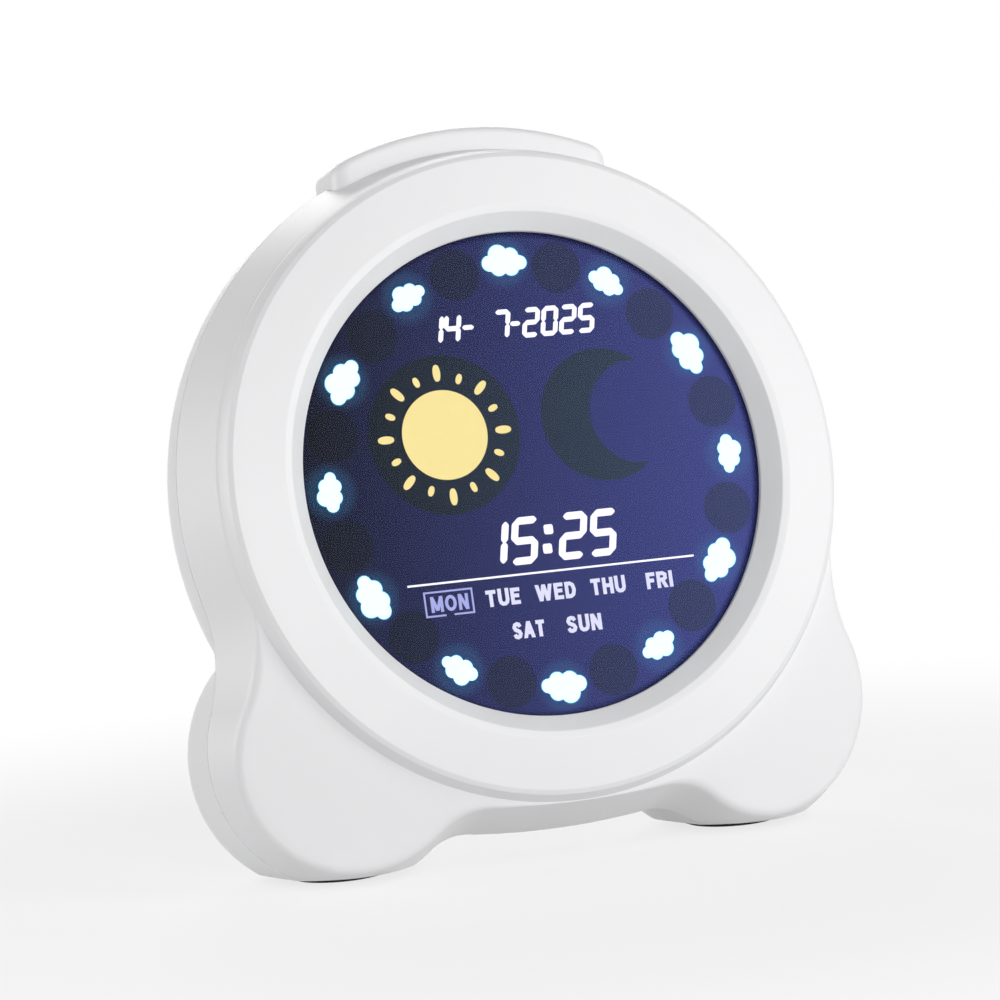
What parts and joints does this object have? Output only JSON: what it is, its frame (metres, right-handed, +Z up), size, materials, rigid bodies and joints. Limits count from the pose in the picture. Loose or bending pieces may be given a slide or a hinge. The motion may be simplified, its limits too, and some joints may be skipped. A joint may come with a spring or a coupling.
{
  "type": "digital calendar day clock",
  "caption": "Leaning white table clock on two rounded feet, with a round lit calendar and time display, a top bar button, rear keys and a battery bay.",
  "frame": {"origin": "middle of the overall box on the table plane, under the clock", "axes": "+X to the right seen from the front, +Y from the display to the back, +Z up"},
  "size_m": [0.1318, 0.0612, 0.1375],
  "materials": {
    "case_white": "satin moulded ABS",
    "key_white": "satin moulded ABS",
    "window_clear": "polished clear sheet",
    "display_glass": "display glass, lit",
    "diffuser_sheet": "milky sheet",
    "guide_clear": "clear acrylic",
    "board_green": "lacquered glass-fibre board",
    "parts_black": "moulded",
    "knob_dark": "ribbed",
    "rubber_strip": "banded silicone",
    "rubber_pad": "matte",
    "screw_steel": "zinc plated",
    "contact_steel": "nickel plated",
    "cell_wrap": "shrink wrap",
    "stem_tan": "moulded"
  },
  "bodies": {
    "case": {"front_case": "case_white", "rear_cover": "case_white", "display_window": "window_clear", "lcd_panel": "display_glass", "diffuser": "diffuser_sheet", "light_guide": "guide_clear", "lamp_strips": "board_green", "display_frame": "case_white", "main_board": "board_green", "board_parts": "parts_black", "connector_strip": "rubber_strip", "board_screws": "screw_steel", "bar_cradle": "case_white", "bar_board": "board_green", "bar_switches": "parts_black", "cradle_screws": "screw_steel", "speaker": "parts_black", "key_board": "board_green", "key_switches": "parts_black", "key_board_screws": "screw_steel", "slide_switch": "parts_black", "cells": "cell_wrap", "contact_springs": "contact_steel", "contact_plates": "contact_steel", "power_socket": "contact_steel", "socket_board": "board_green", "case_screws": "screw_steel", "foot_pads": "rubber_pad"},
    "bar": {"bar_button": "case_white", "bar_stems": "parts_black"},
    "knob": {"slide_knob": "knob_dark"},
    "door": {"battery_door": "case_white", "door_screw": "screw_steel"},
    "key_1_body": {"key_1": "key_white", "key_stem_1": "stem_tan"},
    "key_2_body": {"key_2": "key_white", "key_stem_2": "stem_tan"},
    "key_3_body": {"key_3": "key_white", "key_stem_3": "stem_tan"},
    "key_4_body": {"key_4": "key_white", "key_stem_4": "stem_tan"},
    "key_5_body": {"key_5": "key_white", "key_stem_5": "stem_tan"},
    "key_6_body": {"key_6": "key_white", "key_stem_6": "stem_tan"}
  },
  "joints": [
    {"name": "bar_press", "type": "slide", "parent": "case", "child": "bar", "axis": [0, -0.1736, -0.9848], "range_m": [0, 0.0008], "stiffness_N_per_m": 500, "springref_m": -0.001},
    {"name": "key_1_press", "type": "slide", "parent": "case", "child": "key_1_body", "axis": [0, -0.9848, 0.1736], "range_m": [0, 0.0007], "stiffness_N_per_m": 300, "springref_m": -0.0008},
    {"name": "key_2_press", "type": "slide", "parent": "case", "child": "key_2_body", "axis": [0, -0.9848, 0.1736], "range_m": [0, 0.0007], "stiffness_N_per_m": 300, "springref_m": -0.0008},
    {"name": "key_3_press", "type": "slide", "parent": "case", "child": "key_3_body", "axis": [0, -0.9848, 0.1736], "range_m": [0, 0.0007], "stiffness_N_per_m": 300, "springref_m": -0.0008},
    {"name": "key_4_press", "type": "slide", "parent": "case", "child": "key_4_body", "axis": [0, -0.9848, 0.1736], "range_m": [0, 0.0007], "stiffness_N_per_m": 300, "springref_m": -0.0008},
    {"name": "key_5_press", "type": "slide", "parent": "case", "child": "key_5_body", "axis": [0, -0.9848, 0.1736], "range_m": [0, 0.0007], "stiffness_N_per_m": 300, "springref_m": -0.0008},
    {"name": "key_6_press", "type": "slide", "parent": "case", "child": "key_6_body", "axis": [0, -0.9848, 0.1736], "range_m": [0, 0.0007], "stiffness_N_per_m": 300, "springref_m": -0.0008},
    {"name": "knob_slide", "type": "slide", "parent": "case", "child": "knob", "axis": [1, 0, 0], "range_m": [0, 0.004]},
    {"name": "door_off", "type": "slide", "parent": "case", "child": "door", "axis": [0, 0.9848, -0.1736], "range_m": [0, 0.02]}
  ]
}
